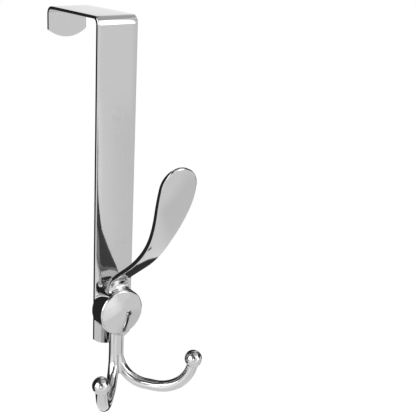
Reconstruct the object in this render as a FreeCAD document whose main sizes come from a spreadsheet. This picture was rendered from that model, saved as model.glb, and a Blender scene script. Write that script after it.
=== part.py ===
# Over-door hook: a bent strap that hangs on a door's top edge, a cast triple hook on its
# foot, and the two screws that hold the casting from behind.
# Frame: origin at the middle of the seat on the door's top edge, +Z up, hooks towards -Y.
import FreeCAD, Part
import math
import os
import re
import Sketcher

# Driving dimensions in millimetres, angles in degrees
SIZES = {
    # strap: one strip bent over the door
    "door_gap": 45.0,
    "gauge": 1.2,
    "strap_width": 20.0,
    "bend_radius": 2.4,
    "lip_length": 13.2,
    "end_radius": 15.3,
    "strap_edge": 0.25,
    # boss: round pad of the casting, flat against the strap's front
    "boss_diameter": 22.2,
    "boss_depth": 8.7,
    "boss_drop": 133.0,
    "foot_length": 19.4,
    "dome_rise": 0.6,
    "rim_round": 1.0,
    # blade: leaf-shaped coat hook that grows out of the boss
    "core_offset": 4.0,
    "blade_rise": 81.0,
    "blade_reach": 51.1,
    "blade_width": 17.5,
    "blade_swell": 0.1,
    "side_radius": 51.0,
    "blade_taper": 8.9,
    "flare_radius": 79.0,
    "neck_width": 10.5,
    "neck_rise": 11.9,
    "neck_lean": 52.3,
    "neck_bend": 6.4,
    "straight_run": 15.9,
    "root_thickness": 3.6,
    "middle_thickness": 1.9,
    "tip_thickness": 1.9,
    "blade_edge": 0.7,
    # stem and prongs: two round arms that part below the boss and end in balls
    "stem_width": 7.4,
    "arm_diameter": 5.2,
    "prong_drop": 37.0,
    "splay": 39.3,
    "inner_bow": 14.0,
    "bow_flat": 4.6,
    "outer_bow": 18.2,
    "ball_diameter": 8.1,
    "root_fillet": 1.8,
    "crotch_fillet": 1.2,
    # countersunk screws through the strap into the back of the boss
    "screw_spacing": 10.0,
    "screw_diameter": 4.0,
    "screw_bite": 5.4,
    "thread_clearance": 0.05,
    "tap_relief": 0.8,
    "head_diameter": 7.4,
    "head_angle": 90.0,
    "head_sink": 0.1,
    "seat_clearance": 0.05,
    "recess_span": 3.6,
    "recess_slot": 0.9,
    "recess_depth": 0.8,
}

doc = FreeCAD.newDocument("over_door_hook")
sheet = doc.addObject("Spreadsheet::Sheet", "sizes")
for row, (name, size) in enumerate(SIZES.items(), start=1):
    sheet.set(f"A{row}", name)
    sheet.set(f"B{row}", str(size))
    sheet.setAlias(f"B{row}", name)
doc.recompute()

# Places worked out from the driving dimensions, across the door (y) and up (z)
LEG_BACK = "(-door_gap / 2)"
LEG_FRONT = "(-door_gap / 2 - gauge)"
LIP_FRONT = "(door_gap / 2)"
LIP_BACK = "(door_gap / 2 + gauge)"
FOOT = "(-boss_drop - foot_length)"
BOSS_RIM = f"({LEG_FRONT} - boss_depth)"
CORE = f"({LEG_FRONT} - core_offset)"
BOW_FOOT = "(-boss_drop - prong_drop)"
ARM_START = f"({BOW_FOOT} + inner_bow)"
ARM_SIDE = "((stem_width - arm_diameter) / 2)"
ARM_REACH = "(inner_bow + bow_flat + outer_bow)"
BALL_HEIGHT = f"({BOW_FOOT} + outer_bow)"
HEAD_TOP = f"({LEG_BACK} - head_sink)"
SCREW_TIP = f"({LEG_FRONT} - screw_bite)"
SCREWS = {
    "upper": "(-boss_drop + screw_spacing / 2)",
    "lower": "(-boss_drop - screw_spacing / 2)",
}


def linked(expression):
    return re.sub(r"[a-z_]+", lambda word: f"sizes.{word[0]}" if word[0] in SIZES else word[0], expression)


def number(expression):
    return float(sheet.evalExpression(expression))


def new_body(name):
    body = doc.addObject("PartDesign::Body", name)
    body.Label = name
    return body


def origin_plane(body, role):
    return next(item for item in body.Origin.OriginFeatures if item.Role == role)


def new_sketch(body, role, name, lift="0"):
    # A sketch on one of the body's origin planes, raised along its normal by lift
    sketch = body.newObject("Sketcher::SketchObject", name)
    sketch.AttachmentSupport = (origin_plane(body, role), [""])
    sketch.MapMode = "FlatFace"
    sketch.setExpression(".AttachmentOffset.Base.z", linked(lift))
    return sketch


def hold(sketch, kind, *targets):
    # A constraint whose last target is an expression of the sheet's sizes
    *places, expression = targets
    index = sketch.addConstraint(Sketcher.Constraint(kind, *places, number(expression)))
    sketch.setExpression(f"Constraints[{index}]", linked(expression))


class Outline:
    # A chain of lines and arcs in a sketch, with every corner and radius bound to the sheet
    def __init__(self, sketch, across, up):
        self.sketch = sketch
        self.start = (across, up)
        self.pen = self.start
        self.edges = []

    def line(self, across, up):
        corner = (across, up)
        self.join(Part.LineSegment(self.spot(self.pen), self.spot(corner)), 1, 2, corner)
        return self

    def arc(self, across, up, radius, turn):
        # An arc of less than half a turn that bends to the left or to the right of the pen's way
        self.curve((across, up), radius, turn)
        hold(self.sketch, "Radius", self.edges[-1][0], radius)
        return self

    def half_turn(self, across, up, radius, turn):
        # A half circle between two corners that stand one above the other
        self.curve((across, up), radius, turn)
        hold(self.sketch, "DistanceX", -1, 1, self.edges[-1][0], 3, across)
        return self

    def close(self):
        return self.line(*self.start)

    def curve(self, corner, radius, turn):
        tail, head = self.spot(self.pen), self.spot(corner)
        chord = head - tail
        rise = math.sqrt(max(number(radius) ** 2 - (chord.Length / 2) ** 2, 0.0))
        side = FreeCAD.Vector(-chord.y, chord.x, 0).normalize() * (1 if turn == "left" else -1)
        centre = (tail + head) / 2 + side * rise
        first, last = (tail, head) if turn == "left" else (head, tail)
        angles = [math.atan2(end.y - centre.y, end.x - centre.x) for end in (first, last)]
        if angles[1] < angles[0]:
            angles[1] += 2 * math.pi
        circle = Part.Circle(centre, FreeCAD.Vector(0, 0, 1), number(radius))
        ends = (1, 2) if turn == "left" else (2, 1)
        self.join(Part.ArcOfCircle(circle, *angles), *ends, corner)

    def join(self, geometry, tail, head, corner):
        index = self.sketch.addGeometry(geometry, False)
        if self.edges:
            last, last_head = self.edges[-1]
            self.sketch.addConstraint(Sketcher.Constraint("Coincident", last, last_head, index, tail))
        else:
            self.first = (index, tail)
            self.place(index, tail, self.start)
        if corner == self.start:
            self.sketch.addConstraint(Sketcher.Constraint("Coincident", index, head, *self.first))
        else:
            self.place(index, head, corner)
        self.edges.append((index, head))
        self.pen = corner

    def place(self, index, end, corner):
        hold(self.sketch, "DistanceX", -1, 1, index, end, corner[0])
        hold(self.sketch, "DistanceY", -1, 1, index, end, corner[1])

    def spot(self, corner):
        return FreeCAD.Vector(number(corner[0]), number(corner[1]), 0)


def add_circle(sketch, across, up, diameter):
    centre = FreeCAD.Vector(number(across), number(up), 0)
    circle = Part.Circle(centre, FreeCAD.Vector(0, 0, 1), number(diameter) / 2)
    index = sketch.addGeometry(circle, False)
    hold(sketch, "DistanceX", -1, 1, index, 3, across)
    hold(sketch, "DistanceY", -1, 1, index, 3, up)
    hold(sketch, "Diameter", index, diameter)


def add_feature(body, kind, name, sketch=None, **options):
    feature = body.newObject(f"PartDesign::{kind}", name)
    if sketch:
        feature.Profile = (sketch, [""])
    for option, setting in options.items():
        setattr(feature, option, setting)
    return feature


def bind(feature, prop, expression):
    setattr(feature, prop, number(expression))
    feature.setExpression(prop, linked(expression))


def revolve(body, name, sketch, axis, kind="Revolution", angle=360):
    return add_feature(body, kind, name, sketch, ReferenceAxis=(sketch, [axis]), Angle=angle)


def ease_edges(body, kind, name, size, wanted):
    # Fillet or chamfer the edges of the body so far that the test named wanted picks out
    doc.recompute()
    base = body.Tip
    picked = [f"Edge{index}" for index, edge in enumerate(base.Shape.Edges, start=1) if wanted(edge)]
    eased = add_feature(body, kind, name, Base=(base, picked))
    bind(eased, "Radius" if kind == "Fillet" else "Size", size)
    body.Tip = eased
    doc.recompute()


def lies_on(edge, axis, *levels):
    # Whether the whole edge lies in a plane square to the axis at one of the levels
    low, high = (getattr(edge.BoundBox, f"{axis}{side}") for side in ("Min", "Max"))
    places = [number(level) for level in levels]
    return any(abs(low - place) < 1e-4 and abs(high - place) < 1e-4 for place in places)


# Strap: seat, front leg and short rear lip are one strip with two square bends
def make_strap():
    body = new_body("door_strap")
    profile = new_sketch(body, "YZ_Plane", "strap_profile")
    outer = "(bend_radius + gauge)"
    side = Outline(profile, LEG_BACK, FOOT).line(LEG_FRONT, FOOT).line(LEG_FRONT, "-bend_radius")
    side.arc(f"{LEG_FRONT} + {outer}", "gauge", outer, "right")
    side.line(f"{LIP_BACK} - {outer}", "gauge")
    side.arc(LIP_BACK, "-bend_radius", outer, "right")
    side.line(LIP_BACK, "-lip_length").line(LIP_FRONT, "-lip_length").line(LIP_FRONT, "-bend_radius")
    side.arc(f"{LIP_FRONT} - bend_radius", "0", "bend_radius", "left")
    side.line(f"{LEG_BACK} + bend_radius", "0")
    side.arc(LEG_BACK, "-bend_radius", "bend_radius", "left")
    side.close()
    strip = add_feature(body, "Pad", "strip", profile, Midplane=True)
    bind(strip, "Length", "strap_width")
    cut_end(body, "foot_end", FOOT, to_front=True)
    cut_end(body, "lip_end", "-lip_length", to_front=False)
    cut_screw_seats(body)
    sides = ("strap_width / 2", "-strap_width / 2")
    ease_edges(body, "Chamfer", "strap_edges", "strap_edge", lambda edge: lies_on(edge, "X", *sides))
    return body


def cut_end(body, name, lowest, to_front):
    # Each end of the strip is cut to an arc that is lowest at mid-width
    sketch = new_sketch(body, "XZ_Plane", f"{name}_arc")
    half = "(strap_width / 2)"
    corner = f"({lowest} + end_radius - sqrt(end_radius ^ 2 - {half} ^ 2))"
    waste = Outline(sketch, f"(-{half})", corner)
    waste.arc(half, corner, "end_radius", "left")
    waste.line(half, f"{lowest} - gauge").line(f"(-{half})", f"{lowest} - gauge").close()
    add_feature(body, "Pocket", name, sketch, Type="ThroughAll", Reversed=to_front)


# Triple hook: blade, boss, stem and both prongs are one casting with filleted roots
def make_triple_hook():
    body = new_body("triple_hook")
    add_blade(body)
    add_boss(body)
    add_stem(body)
    add_prongs(body)
    ease_edges(body, "Fillet", "boss_roots", "root_fillet", leaves_boss)
    ease_edges(body, "Fillet", "prong_crotch", "crotch_fillet", parts_arms)
    cut_screw_seats(body)
    return body


def add_blade(body):
    side = new_sketch(body, "YZ_Plane", "blade_side")
    draw_blade_side(side)
    slab = add_feature(body, "Pad", "blade_slab", side, Midplane=True)
    bind(slab, "Length", "blade_width + blade_edge")
    front = new_sketch(body, "XZ_Plane", "blade_front")
    draw_blade_front(front)
    add_feature(body, "Pocket", "blade_leaf", front, Type="ThroughAll", Reversed=True)
    ease_edges(body, "Fillet", "blade_edges", "blade_edge", rims_blade)


def draw_blade_side(sketch):
    # Front face and rear face are each an upright root, a bend outwards, a straight and a bow;
    # the straights are parallel and the section thins from the root to the middle
    front, rear = f"({CORE} - root_thickness / 2)", f"({CORE} + root_thickness / 2)"
    bend_start = "(neck_rise - boss_drop)"
    rear_start = f"({bend_start} - (root_thickness - middle_thickness) / sin(neck_lean))"
    wide_bend = "(neck_bend + root_thickness)"
    tip_front = (f"({LEG_FRONT} - blade_reach)", "(blade_rise + blade_edge - boss_drop)")
    tip_rear = (f"({tip_front[0]} + tip_thickness)", tip_front[1])

    def after_bend(face, height, radius):
        return f"({face} - {radius} * (1 - cos(neck_lean)))", f"({height} + {radius} * sin(neck_lean))"

    def after_straight(corner):
        out, up = corner
        return f"({out} - straight_run * sin(neck_lean))", f"({up} + straight_run * cos(neck_lean))"

    def bow_radius(corner, tip):
        # The arc that leaves the corner along the straight and ends at the tip
        out, up = f"({tip[0]} - {corner[0]})", f"({tip[1]} - {corner[1]})"
        return f"(({out} ^ 2 + {up} ^ 2) / (2 * ({out} * cos(neck_lean) + {up} * sin(neck_lean))))"

    front_bend = after_bend(front, bend_start, "neck_bend")
    rear_bend = after_bend(rear, rear_start, wide_bend)
    front_bow, rear_bow = after_straight(front_bend), after_straight(rear_bend)
    side = Outline(sketch, rear, "-boss_drop")
    side.line(front, "-boss_drop").line(front, bend_start)
    side.arc(*front_bend, "neck_bend", "left").line(*front_bow)
    side.arc(*tip_front, bow_radius(front_bow, tip_front), "right")
    side.line(*tip_rear)
    side.arc(*rear_bow, bow_radius(rear_bow, tip_rear), "left").line(*rear_bend)
    side.arc(rear, rear_start, wide_bend, "right").close()


def draw_blade_front(sketch):
    # A narrow neck flares into a leaf with bowed sides and a round tip; what lies outside is cut away
    half, neck = "(blade_width / 2)", "(neck_width / 2)"
    tip, root = "(blade_rise - boss_drop)", "(-boss_drop - neck_width)"
    round_tip = f"({half} - blade_swell)"
    crown, sway, inset = f"({tip} - {round_tip})", f"(side_radius - {round_tip})", f"(side_radius - {half})"
    drop = f"sqrt({sway} ^ 2 - {inset} ^ 2)"
    belly = f"({crown} - {drop})"
    shoulder = (f"({round_tip} * {inset} / {sway})", f"({crown} + {round_tip} * {drop} / {sway})")
    waist = (f"({half} - side_radius * (1 - cos(blade_taper)))",
             f"({belly} - side_radius * sin(blade_taper))")
    meeting = f"({waist[1]} - ({waist[0]} - {neck}) / tan(blade_taper))"
    reach = "(flare_radius * tan(blade_taper / 2))"
    flare_low = (neck, f"({meeting} - {reach})")
    flare_top = (f"({neck} + {reach} * sin(blade_taper))", f"({meeting} + {reach} * cos(blade_taper))")

    def mirrored(corner):
        return f"(-{corner[0]})", corner[1]

    leaf = Outline(sketch, neck, root).line(*flare_low).arc(*flare_top, "flare_radius", "right")
    leaf.line(*waist).arc(*shoulder, "side_radius", "left")
    leaf.arc("0", tip, round_tip, "left").arc(*mirrored(shoulder), round_tip, "left")
    leaf.arc(*mirrored(waist), "side_radius", "left").line(*mirrored(flare_top))
    leaf.arc(*mirrored(flare_low), "flare_radius", "right").line(f"(-{neck})", root).close()
    side, top, bottom = f"({half} + blade_edge)", f"({tip} + 2 * blade_edge)", f"({root} - blade_edge)"
    Outline(sketch, f"(-{side})", top).line(f"(-{side})", bottom).line(side, bottom).line(side, top).close()


def rims_blade(edge):
    # The rims of the blade's two broad faces, which run both outwards and up
    box = edge.BoundBox
    return box.YLength > 1e-3 and box.ZLength > 1e-3


def add_boss(body):
    # A disc whose slightly domed face runs into a rounded rim
    sketch = new_sketch(body, "YZ_Plane", "boss_section")
    radius, rim = "(boss_diameter / 2)", "rim_round"
    dome = f"(({radius} ^ 2 + dome_rise ^ 2) / (2 * dome_rise))"
    middle = f"({BOSS_RIM} - dome_rise + {dome})"
    sway = f"sqrt(({dome} - {rim}) ^ 2 - ({radius} - {rim}) ^ 2)"
    rim_start = f"({middle} - {sway})"
    rim_end = (f"({middle} - {sway} * {dome} / ({dome} - {rim}))",
               f"(({radius} - {rim}) * {dome} / ({dome} - {rim}) - boss_drop)")
    top = f"({radius} - boss_drop)"
    half = Outline(sketch, LEG_FRONT, "-boss_drop").line(LEG_FRONT, top).line(rim_start, top)
    half.arc(*rim_end, rim, "left").arc(f"({BOSS_RIM} - dome_rise)", "-boss_drop", dome, "left").close()
    revolve(body, "boss", sketch, "Edge5")


def add_stem(body):
    # The stem is as wide as the two arms side by side
    sketch = new_sketch(body, "XY_Plane", "stem_section", lift=ARM_START)
    half = "(arm_diameter / 2)"
    front, back = f"({CORE} - {half})", f"({CORE} + {half})"
    slot = Outline(sketch, ARM_SIDE, front).half_turn(ARM_SIDE, back, half, "left")
    slot.line(f"(-{ARM_SIDE})", back).half_turn(f"(-{ARM_SIDE})", front, half, "left").close()
    stem = add_feature(body, "Pad", "stem", sketch)
    bind(stem, "Length", "prong_drop - inner_bow")


def add_prongs(body):
    # Each arm leaves the stem in a quarter bend, runs level, and bends up into its ball
    inner = splayed_sketch(body, "XY_Plane", "inner_bow_section", "inner_bow", ARM_START)
    add_circle(inner, "(-inner_bow)", "0", "arm_diameter")
    inner_bow = revolve(body, "inner_bow", inner, "V_Axis", angle=90)
    inner_bow.Reversed = True
    flat = splayed_sketch(body, "YZ_Plane", "arm_section", "inner_bow", BOW_FOOT)
    add_circle(flat, "0", "0", "arm_diameter")
    level_run = add_feature(body, "Pad", "level_run", flat)
    bind(level_run, "Length", "bow_flat")
    outer = splayed_sketch(body, "XY_Plane", "outer_bow_section", "(inner_bow + bow_flat)", BALL_HEIGHT)
    add_circle(outer, "outer_bow", "0", "arm_diameter")
    outer_bow = revolve(body, "outer_bow", outer, "V_Axis", angle=90)
    section = splayed_sketch(body, "YZ_Plane", "ball_section", ARM_REACH, BALL_HEIGHT)
    radius = "(ball_diameter / 2)"
    half = Outline(section, "0", f"(-{radius})").half_turn("0", radius, radius, "left").close()
    ball = revolve(body, "ball", section, "V_Axis")
    mirror = (origin_plane(body, "YZ_Plane"), [""])
    arm = [inner_bow, level_run, outer_bow, ball]
    body.Tip = add_feature(body, "Mirrored", "second_prong", Originals=arm, MirrorPlane=mirror)


def splayed_sketch(body, role, name, along, height):
    # A sketch on a plane turned with the splayed arm, whose origin lies on the arm's centre line
    sketch = new_sketch(body, role, name)
    across, out = f"({ARM_SIDE} + {along} * sin(splay))", f"({CORE} - {along} * cos(splay))"
    places, upright = {
        "XY_Plane": ((across, out, height), FreeCAD.Vector(0, 0, -1)),
        "YZ_Plane": ((out, height, across), FreeCAD.Vector(0, -1, 0)),
    }[role]
    turn = FreeCAD.Rotation(upright, 90 - number("splay"))
    sketch.AttachmentOffset = FreeCAD.Placement(FreeCAD.Vector(), turn)
    for direction, place in zip("xyz", places):
        sketch.setExpression(f".AttachmentOffset.Base.{direction}", linked(place))
    sketch.setExpression(".AttachmentOffset.Rotation.Angle", linked("90 - splay"))
    return sketch


def leaves_boss(edge):
    # Where the blade and the stem leave the boss's round side
    box = edge.BoundBox
    first, last = edge.ParameterRange
    points = [edge.valueAt(first + (last - first) * share) for share in (0.25, 0.5, 0.75)]
    radii = [math.hypot(point.x, point.z + number("boss_drop")) for point in points]
    between = number(BOSS_RIM) + 0.1 < box.YMin and box.YMax < number(LEG_FRONT) - 0.1
    return between and all(abs(radius - number("boss_diameter / 2")) < 1e-3 for radius in radii)


def parts_arms(edge):
    # The valley where the two arms part, in the plane midway between them
    return lies_on(edge, "X", "0") and edge.BoundBox.ZMax < number(ARM_START) + 1e-3


# Screws: countersunk heads with a cross recess, flush with the strap's back
def make_screws():
    body = new_body("mounting_screws")
    for place, height in SCREWS.items():
        sketch = new_sketch(body, "YZ_Plane", f"{place}_screw_section")
        draw_screw(sketch, height, "head_diameter / 2", HEAD_TOP, "screw_diameter / 2", SCREW_TIP)
        revolve(body, f"{place}_screw", sketch, "Edge5")
    recess = new_sketch(body, "XZ_Plane", "recess_crosses", lift=f"-{HEAD_TOP}")
    for height in SCREWS.values():
        draw_cross(recess, height)
    cross = add_feature(body, "Pocket", "recesses", recess, Reversed=True)
    bind(cross, "Length", "recess_depth")
    return body


def cut_screw_seats(body):
    # The same countersunk holes run through the strap and end blind in the boss
    mouth = "(head_diameter / 2 + head_sink * tan(head_angle / 2) + seat_clearance)"
    for place, height in SCREWS.items():
        sketch = new_sketch(body, "YZ_Plane", f"{place}_seat_section")
        draw_screw(sketch, height, mouth, LEG_BACK, "(screw_diameter / 2 + thread_clearance)",
                   f"({SCREW_TIP} - tap_relief)")
        revolve(body, f"{place}_seat", sketch, "Edge5", kind="Groove")


def draw_screw(sketch, height, head, top, shank, tip):
    # Half of a countersunk screw's section, from the tip to the head's flat top
    neck = f"({top} - ({head} - {shank}) / tan(head_angle / 2))"
    half = Outline(sketch, tip, height).line(tip, f"({height} + {shank})")
    half.line(neck, f"({height} + {shank})").line(top, f"({height} + {head})").line(top, height).close()


def draw_cross(sketch, height):
    arm, slot = "(recess_span / 2)", "(recess_slot / 2)"
    quarter = [(arm, slot), (slot, slot), (slot, arm)]
    corners = []
    for across_sign, up_sign in ((1, 1), (-1, 1), (-1, -1), (1, -1)):
        turn = quarter if across_sign == up_sign else quarter[::-1]
        for across, up in turn:
            corners.append((f"({across_sign} * {across})", f"({height} + {up_sign} * {up})"))
    cross = Outline(sketch, *corners[0])
    for corner in corners[1:]:
        cross.line(*corner)
    cross.close()


def save_parts(bodies):
    for item in doc.Objects:
        if "Invalid" in item.State or "Error" in item.State:
            raise RuntimeError(f"{item.Name} did not compute")
    for body in bodies:
        if body.Shape.isNull() or not body.Shape.isValid():
            raise RuntimeError(f"{body.Label} has no valid shape")
    os.makedirs("parts", exist_ok=True)
    for body in bodies:
        body.Shape.exportStep(f"parts/{body.Label}.step")
        print(body.Label, len(body.Shape.Solids), round(body.Shape.Volume, 1))


bodies = [make_strap(), make_triple_hook(), make_screws()]
doc.recompute()
save_parts(bodies)
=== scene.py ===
import math

import bmesh
import bpy
from mathutils import Matrix, Vector

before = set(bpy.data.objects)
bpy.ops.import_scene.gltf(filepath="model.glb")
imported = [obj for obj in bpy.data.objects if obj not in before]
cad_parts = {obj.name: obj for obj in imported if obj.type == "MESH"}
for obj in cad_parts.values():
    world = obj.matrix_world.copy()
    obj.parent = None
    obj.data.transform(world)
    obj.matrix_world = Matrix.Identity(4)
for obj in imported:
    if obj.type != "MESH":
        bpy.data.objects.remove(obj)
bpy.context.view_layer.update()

# Camera, read off the photograph: where it stands, how it is turned, and how the frame is cut
cameraSetup = {
    "place": (-0.181314, -0.328178, 0.04074),  # metres
    "azimuth": 30.687,  # degrees, 0 looks along +Y
    "pitch": 18.76,  # degrees below the horizon
    "roll": 1.041,  # degrees
    "focalPixels": 830.292,
    "centrePixels": (113.536, 198.085),
    "imagePixels": 416,
    "sensorWidth": 36.0,  # millimetres
    "clip": (0.01, 20),  # metres
}


def makeCamera(setup):
    azimuth, pitch, roll = (math.radians(setup[name]) for name in ("azimuth", "pitch", "roll"))
    level = Vector((math.cos(azimuth), -math.sin(azimuth), 0))
    forward = Vector((math.sin(azimuth), math.cos(azimuth), 0))
    ahead = math.cos(pitch) * forward - math.sin(pitch) * Vector((0, 0, 1))
    above = level.cross(ahead)
    right = math.cos(roll) * level + math.sin(roll) * above
    up = -math.sin(roll) * level + math.cos(roll) * above
    data = bpy.data.cameras.new("camera")
    data.sensor_width = setup["sensorWidth"]
    data.lens = setup["focalPixels"] / setup["imagePixels"] * setup["sensorWidth"]
    half = setup["imagePixels"] / 2
    data.shift_x = (half - setup["centrePixels"][0]) / setup["imagePixels"]
    data.shift_y = (setup["centrePixels"][1] - half) / setup["imagePixels"]
    data.clip_start, data.clip_end = setup["clip"]
    camera = bpy.data.objects.new("camera", data)
    bpy.context.scene.collection.objects.link(camera)
    turn = Matrix((right, up, -ahead)).transposed()
    camera.matrix_world = Matrix.Translation(setup["place"]) @ turn.to_4x4()
    bpy.context.scene.camera = camera


makeCamera(cameraSetup)
print("camera placed")


def linearColour(hexCode):
    # An sRGB hex value as the linear colour that the shader takes
    parts = [int(hexCode[i:i + 2], 16) / 255 for i in (0, 2, 4)]
    return tuple(p / 12.92 if p <= 0.04045 else ((p + 0.055) / 1.055) ** 2.4 for p in parts) + (1.0,)


def addNode(tree, kind, values=None, links=None, **settings):
    node = tree.nodes.new(kind)
    for name, value in settings.items():
        setattr(node, name, value)
    for name, value in (values or {}).items():
        node.inputs[name].default_value = value
    for name, source in (links or {}).items():
        # A node stands for its first output
        tree.links.new(getattr(source, "outputs", [source])[0], node.inputs[name])
    return node


# Finishes. Metal keeps the default IOR, and its colour is what it reflects face on. One noise, whose
# grain has a size along x, y and z, drives both roughness and bump. Sizes are in millimetres
mmPerMetre = 1000


def metalMaterial(name, piece, form=None):
    material = bpy.data.materials.new(name)
    material.use_nodes = True
    tree = material.node_tree
    shader = tree.nodes["Principled BSDF"]
    shader.inputs["Base Color"].default_value = linearColour(piece["colour"])
    shader.inputs["Metallic"].default_value = 1.0
    coords = addNode(tree, "ShaderNodeTexCoord").outputs["Object"]
    place = addNode(tree, "ShaderNodeVectorMath", {"Scale": mmPerMetre}, {0: coords}, operation="SCALE")
    spacing = [1 / size for size in piece["grainSize"]]
    fine = addNode(tree, "ShaderNodeVectorMath", {1: spacing}, {0: place}, operation="MULTIPLY")
    grain = addNode(tree, "ShaderNodeTexNoise", {"Scale": 1.0, "Detail": 2.0}, {"Vector": fine})
    low, high = piece["roughness"]
    rough = addNode(tree, "ShaderNodeMapRange", {"To Min": low, "To Max": high}, {"Value": grain})
    tree.links.new(rough.outputs[0], shader.inputs["Roughness"])
    normal = addNode(tree, "ShaderNodeNewGeometry").outputs["Normal"]
    if form:
        leant = form(tree, place, normal)
        normal = addNode(tree, "ShaderNodeVectorMath", {}, {0: leant}, operation="NORMALIZE")
    bump = addNode(tree, "ShaderNodeBump", {"Distance": piece["grainDepth"] / mmPerMetre},
                   {"Height": grain, "Normal": normal})
    tree.links.new(bump.outputs[0], shader.inputs["Normal"])
    return material


def paint(node, material):
    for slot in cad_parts[node].material_slots:
        slot.material = material


# Strap of cold-rolled stainless strip, buffed: a grey mirror, blurred a little along its lengthwise
# grain, which is drawn coarser than the real one, so that it shows.
# Each part of the edges' fall says how far from the middle line it starts and ends, how far it
# leans the face, and how far back and to the right it reaches. The face sags, and rolls over into
# its left side, which draws a line there. The rear lip is flat and has only its dark side
doorStrap = {
    "colour": "BBBBBB",
    "roughness": (0.045, 0.075),
    "grainSize": (0.5, 0.5, 12.0),
    "grainDepth": 0.001,
    "edgeParts": {
        "bow": (0.0, 10.0, 0.035, 20.0, 11.0),
        "sag": (6.5, 10.0, 0.07, 20.0, 11.0),
        "roll": (9.1, 9.75, 1.6, 20.0, 0.0),
        "side": (9.74, 9.78, 2.5, 30.0, 11.0),
    },
}


def rolledEdge(tree, place, normal):
    # Leans the normal outwards near the strip's sides, slightly at first and then strongly
    across, depth = addNode(tree, "ShaderNodeSeparateXYZ", links={0: place}).outputs[:2]
    outwards = addNode(tree, "ShaderNodeMath", {}, {0: across}, operation="ABSOLUTE")
    side = addNode(tree, "ShaderNodeMath", {}, {0: across}, operation="SIGN")
    lean = None
    for start, end, slope, *reach in doorStrap["edgeParts"].values():
        part = addNode(tree, "ShaderNodeMapRange",
                       {"From Min": start, "From Max": end, "To Max": slope}, {"Value": outwards})
        for along, limit in zip((depth, across), reach):
            here = addNode(tree, "ShaderNodeMath", {1: limit}, {0: along}, operation="LESS_THAN")
            part = addNode(tree, "ShaderNodeMath", {}, {0: part, 1: here}, operation="MULTIPLY")
        if lean:
            part = addNode(tree, "ShaderNodeMath", {}, {0: lean, 1: part}, operation="ADD")
        lean = part
    lean = addNode(tree, "ShaderNodeMath", {}, {0: lean, 1: side}, operation="MULTIPLY")
    turn = addNode(tree, "ShaderNodeCombineXYZ", {}, {"X": lean})
    return addNode(tree, "ShaderNodeVectorMath", {}, {0: normal, 1: turn}, operation="ADD")


paint("door_strap", metalMaterial("polishedStainless", doorStrap, rolledEdge))

# Zinc casting, buffed and plated with bright chromium: a clear mirror, faintly wavy from buffing
tripleHook = {
    "colour": "C2C2C2",
    "roughness": (0.02, 0.04),
    "grainSize": (6.0, 6.0, 6.0),
    "grainDepth": 0.012,
    "toBoss": (0.0, 0.0, 133.0),  # added to a place, to measure it from the boss's middle
    "domeRadius": 103.0,  # of the boss's face, as it is modelled
    "buffedRadius": 40.0,  # of the boss's face, as it reflects
    "faceFront": -31.5,  # the boss's face lies in front of this
    "faceReach": 11.2,  # and this near to the boss's middle
    "poleReach": (2.8, 3.6),  # where the dome's own normal starts and stops to fade
    "bladeFoot": (-121.0, -114.0),  # heights where the blade's crown begins and is full
    "crownRadius": 60.0,  # across the blade
    "sideTurn": (0.45, 0.6),  # sideways share of the normal from a broad face to the narrow side
    "sideLean": 2.5,  # how far the narrow side's normal leans outwards
}


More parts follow.
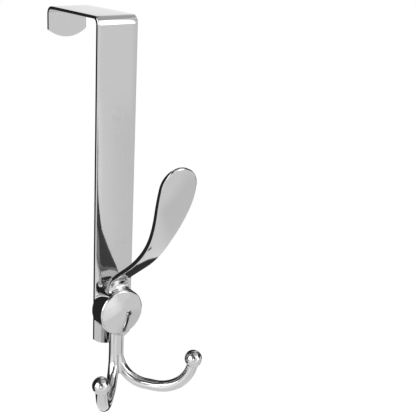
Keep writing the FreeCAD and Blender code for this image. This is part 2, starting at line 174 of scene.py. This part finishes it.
def buffedForm(tree, place, normal):
    # Buffing rounds the boss's face and crowns the blade. The mesh's normal is off at the pole of
    # the boss's dome, so the middle of the face takes the dome's own
    x, y, z = addNode(tree, "ShaderNodeSeparateXYZ", links={0: place}).outputs
    fromBoss = addNode(tree, "ShaderNodeVectorMath", {1: tripleHook["toBoss"]}, {0: place},
                       operation="ADD")
    radial = addNode(tree, "ShaderNodeVectorMath", {1: (1, 0, 1)}, {0: fromBoss}, operation="MULTIPLY")
    reach = addNode(tree, "ShaderNodeVectorMath", {}, {0: radial}, operation="LENGTH").outputs["Value"]
    front = addNode(tree, "ShaderNodeMath", {1: tripleHook["faceFront"]}, {0: y}, operation="LESS_THAN")
    near = addNode(tree, "ShaderNodeMath", {1: tripleHook["faceReach"]}, {0: reach},
                   operation="LESS_THAN")
    onFace = addNode(tree, "ShaderNodeMath", {}, {0: front, 1: near}, operation="MULTIPLY")

    inner, outer = tripleHook["poleReach"]
    middle = addNode(tree, "ShaderNodeMapRange", {"From Min": outer, "From Max": inner},
                     {"Value": reach})
    middle = addNode(tree, "ShaderNodeMath", {}, {0: middle, 1: onFace}, operation="MULTIPLY")
    dome = addNode(tree, "ShaderNodeVectorMath", {"Scale": 1 / tripleHook["domeRadius"]}, {0: radial},
                   operation="SCALE")
    dome = addNode(tree, "ShaderNodeVectorMath", {1: (0, -1, 0)}, {0: dome}, operation="ADD")
    change = addNode(tree, "ShaderNodeVectorMath", {}, {0: dome, 1: normal}, operation="SUBTRACT")
    normal = addNode(tree, "ShaderNodeVectorMath", {}, {0: change, 1: middle, 2: normal},
                     operation="MULTIPLY_ADD")

    more = 1 / tripleHook["buffedRadius"] - 1 / tripleHook["domeRadius"]
    rounder = addNode(tree, "ShaderNodeMath", {1: more}, {0: onFace}, operation="MULTIPLY")
    normal = addNode(tree, "ShaderNodeVectorMath", {}, {0: radial, 1: rounder, 2: normal},
                     operation="MULTIPLY_ADD")

    low, high = tripleHook["bladeFoot"]
    bend = 1 / tripleHook["crownRadius"]
    crown = addNode(tree, "ShaderNodeMapRange", {"From Min": low, "From Max": high, "To Max": bend},
                    {"Value": z})
    lean = addNode(tree, "ShaderNodeMath", {}, {0: x, 1: crown}, operation="MULTIPLY")

    # The blade's narrow side stays flat almost to its edges
    sideways = addNode(tree, "ShaderNodeSeparateXYZ", links={0: normal}).outputs["X"]
    outwards = addNode(tree, "ShaderNodeMath", {}, {0: sideways}, operation="ABSOLUTE")
    low, high = tripleHook["sideTurn"]
    most = tripleHook["sideLean"] * tripleHook["crownRadius"]
    flat = addNode(tree, "ShaderNodeMapRange", {"From Min": low, "From Max": high, "To Max": most},
                   {"Value": outwards})
    flat = addNode(tree, "ShaderNodeMath", {}, {0: flat, 1: sideways}, operation="MULTIPLY")
    lean = addNode(tree, "ShaderNodeMath", {}, {0: flat, 1: crown, 2: lean}, operation="MULTIPLY_ADD")
    turn = addNode(tree, "ShaderNodeCombineXYZ", {}, {"X": lean})
    return addNode(tree, "ShaderNodeVectorMath", {}, {0: normal, 1: turn}, operation="ADD")


paint("triple_hook", metalMaterial("brightChrome", tripleHook, buffedForm))

# Steel screws, zinc plated: a satin, faintly cloudy grey
mountingScrews = {
    "colour": "B4B6BA",
    "roughness": (0.26, 0.36),
    "grainSize": (0.4, 0.4, 0.4),
    "grainDepth": 0.004,
}
paint("mounting_screws", metalMaterial("zincPlate", mountingScrews))
print("finishes on")

# Studio: a white floor two metres below, as under a real door's top, a white room, and cards that
# only the metal sees. Each card is an azimuth (0 in front of the hook, its right positive) and a
# height above the horizon in degrees, a distance in metres, a width and height in degrees, a
# brightness, where 1 is white paper, and the share of its half size over which it fades out.
# The two near cards, close behind the hook's right side, darken the blade's back, which the strap
# mirrors as a wedge, and the tops of the arms
studio = {
    "middle": (0.0, -0.035, -0.11),  # that the cards face, in metres
    "cards": {
        "leftSoftbox": (-83, 23, 2.4, 50, 46, 3.00, 0.06),
        "leftSoftboxGlow": (-74, -14, 2.45, 44, 40, 1.35, 0.60),
        "frontLowGlow": (-28, -31, 2.5, 116, 18, 1.20, 0.50),
        "rearLeftFlag": (-146, 10, 2.4, 70, 92, 0.03, 0.08),
        "rearLeftFlagLow": (-147, -38, 1.9, 64, 26, 0.03, 0.20),
        "leftLowFlag": (-119, -29, 2, 16, 24, 0.03, 0.25),
        "gapFlag": (-49, 36, 2.3, 20, 46, 0.30, 0.30),
        "cameraFlag": (-18, 36, 2.2, 24, 34, 0.05, 0.20),
        "frontWindow": (-34, 14, 2.3, 14, 24, 2.60, 0.20),
        "frontGrey": (-18, 4, 2.35, 16, 18, 0.50, 0.40),
        "topWindow": (10, 42, 2.4, 32, 34, 1.60, 0.20),
        "frontGlow": (8, -10, 2.5, 52, 36, 1.45, 0.90),
        "rightSoftbox": (30.5, 24, 2.3, 21, 50, 3.00, 0.06),
        "rightGlow": (30, -6, 2.35, 26, 14, 1.10, 0.60),
        "floorGrey": (74, -43, 1.7, 66, 38, 0.88, 0.50),
        "rightFlag": (78, 20, 2.4, 54, 38, 0.06, 0.20),
        "rightLowGrey": (76, -24, 2.3, 14, 22, 0.35, 0.50),
        "farRightFlag": (106, 22, 2.5, 30, 48, 0.12, 0.25),
        "neighbourFlag": (141, -5, 0.161, 40, 67, 0.03, 0.15),
        "rearRightFlagLow": (142, -36, 2, 26, 40, 0.04, 0.20),
        "rearFlag": (178, 20, 2.4, 38, 46, 0.04, 0.20),
        "rightLowFlag": (116, -12, 2.2, 46, 30, 0.05, 0.20),
        "bladeBackFlag": (120, 55, 0.112, 32, 30, 0.16, 0.10),
        "ceiling": (65, 76, 2.6, 100, 50, 0.65, 0.20),
        "ceilingFlag": (-112, 70, 2.5, 110, 36, 0.10, 0.20),
        "rearCeilingFlag": (168, 56, 2.5, 40, 30, 0.08, 0.25),
    },
    # A soft lamp that lights the floor and is kept out of the metal, where the cards stand in
    "lamp": {"place": (-0.6, -1.2, 1.2), "size": 1.5, "watts": 6.0},
    "floor": {"height": -2.0, "size": 80.0, "colour": "FFFFFF", "roughness": 1.0, "shine": 0.0},
    "room": {"colour": "FFFFFF", "strength": 1.0},
}


def makeCard(name, azimuth, height, reach, wide, tall, brightness, fade):
    across = reach * math.tan(math.radians(wide / 2))
    up = reach * math.tan(math.radians(tall / 2))
    mesh = bpy.data.meshes.new(name)
    form = bmesh.new()
    bmesh.ops.create_grid(form, x_segments=1, y_segments=1, size=1)
    bmesh.ops.scale(form, vec=(across, up, 1), verts=form.verts)
    form.to_mesh(mesh)
    form.free()
    card = bpy.data.objects.new(name, mesh)
    bpy.context.scene.collection.objects.link(card)
    aside = Matrix.Rotation(math.radians(azimuth), 4, "Z")
    upright = Matrix.Rotation(math.radians(90 - height), 4, "X")
    away = Matrix.Translation((0, 0, reach))
    card.matrix_world = Matrix.Translation(studio["middle"]) @ aside @ upright @ away
    for kind in ("camera", "diffuse", "shadow", "volume_scatter"):
        setattr(card, f"visible_{kind}", False)

    paper = bpy.data.materials.new(name)
    paper.use_nodes = True
    tree = paper.node_tree
    tree.nodes.clear()
    coords = addNode(tree, "ShaderNodeTexCoord").outputs["Object"]
    share = addNode(tree, "ShaderNodeVectorMath", {1: (1 / across, 1 / up, 0)}, {0: coords},
                    operation="MULTIPLY")
    share = addNode(tree, "ShaderNodeVectorMath", {}, {0: share}, operation="ABSOLUTE")
    sides = addNode(tree, "ShaderNodeSeparateXYZ", links={0: share}).outputs[:2]
    fades = [addNode(tree, "ShaderNodeMapRange", {"From Min": 1, "From Max": 1 - fade},
                     {"Value": side}, interpolation_type="SMOOTHSTEP") for side in sides]
    cover = addNode(tree, "ShaderNodeMath", {}, {0: fades[0], 1: fades[1]}, operation="MULTIPLY")
    clear = addNode(tree, "ShaderNodeBsdfTransparent")
    glow = addNode(tree, "ShaderNodeEmission", {"Strength": brightness})
    surface = addNode(tree, "ShaderNodeMixShader", {}, {0: cover, 1: clear, 2: glow})
    addNode(tree, "ShaderNodeOutputMaterial", links={"Surface": surface})
    mesh.materials.append(paper)


for cardName, card in studio["cards"].items():
    makeCard(cardName, *card)

lampData = bpy.data.lights.new("softLamp", "AREA")
lampData.shape = "SQUARE"
lampData.size = studio["lamp"]["size"]
lampData.energy = studio["lamp"]["watts"]
lamp = bpy.data.objects.new("softLamp", lampData)
bpy.context.scene.collection.objects.link(lamp)
lampPlace = Vector(studio["lamp"]["place"])
lampTurn = (lampPlace - Vector(studio["middle"])).to_track_quat("Z", "Y").to_matrix().to_4x4()
lamp.matrix_world = Matrix.Translation(lampPlace) @ lampTurn
lamp.visible_glossy = False

floorMesh = bpy.data.meshes.new("floor")
floorForm = bmesh.new()
bmesh.ops.create_grid(floorForm, x_segments=1, y_segments=1, size=studio["floor"]["size"] / 2)
bmesh.ops.translate(floorForm, vec=(0, 0, studio["floor"]["height"]), verts=floorForm.verts)
floorForm.to_mesh(floorMesh)
floorForm.free()
floor = bpy.data.objects.new("floor", floorMesh)
bpy.context.scene.collection.objects.link(floor)
floorPaint = bpy.data.materials.new("whitePaper")
floorPaint.use_nodes = True
floorShader = floorPaint.node_tree.nodes["Principled BSDF"]
floorShader.inputs["Base Color"].default_value = linearColour(studio["floor"]["colour"])
floorShader.inputs["Roughness"].default_value = studio["floor"]["roughness"]
floorShader.inputs["Specular IOR Level"].default_value = studio["floor"]["shine"]
floorMesh.materials.append(floorPaint)

world = bpy.data.worlds.new("studio")
world.use_nodes = True
bpy.context.scene.world = world
background = world.node_tree.nodes["Background"]
background.inputs["Color"].default_value = linearColour(studio["room"]["colour"])
background.inputs["Strength"].default_value = studio["room"]["strength"]

bpy.context.scene.view_settings.view_transform = "Standard"
print("studio lit")
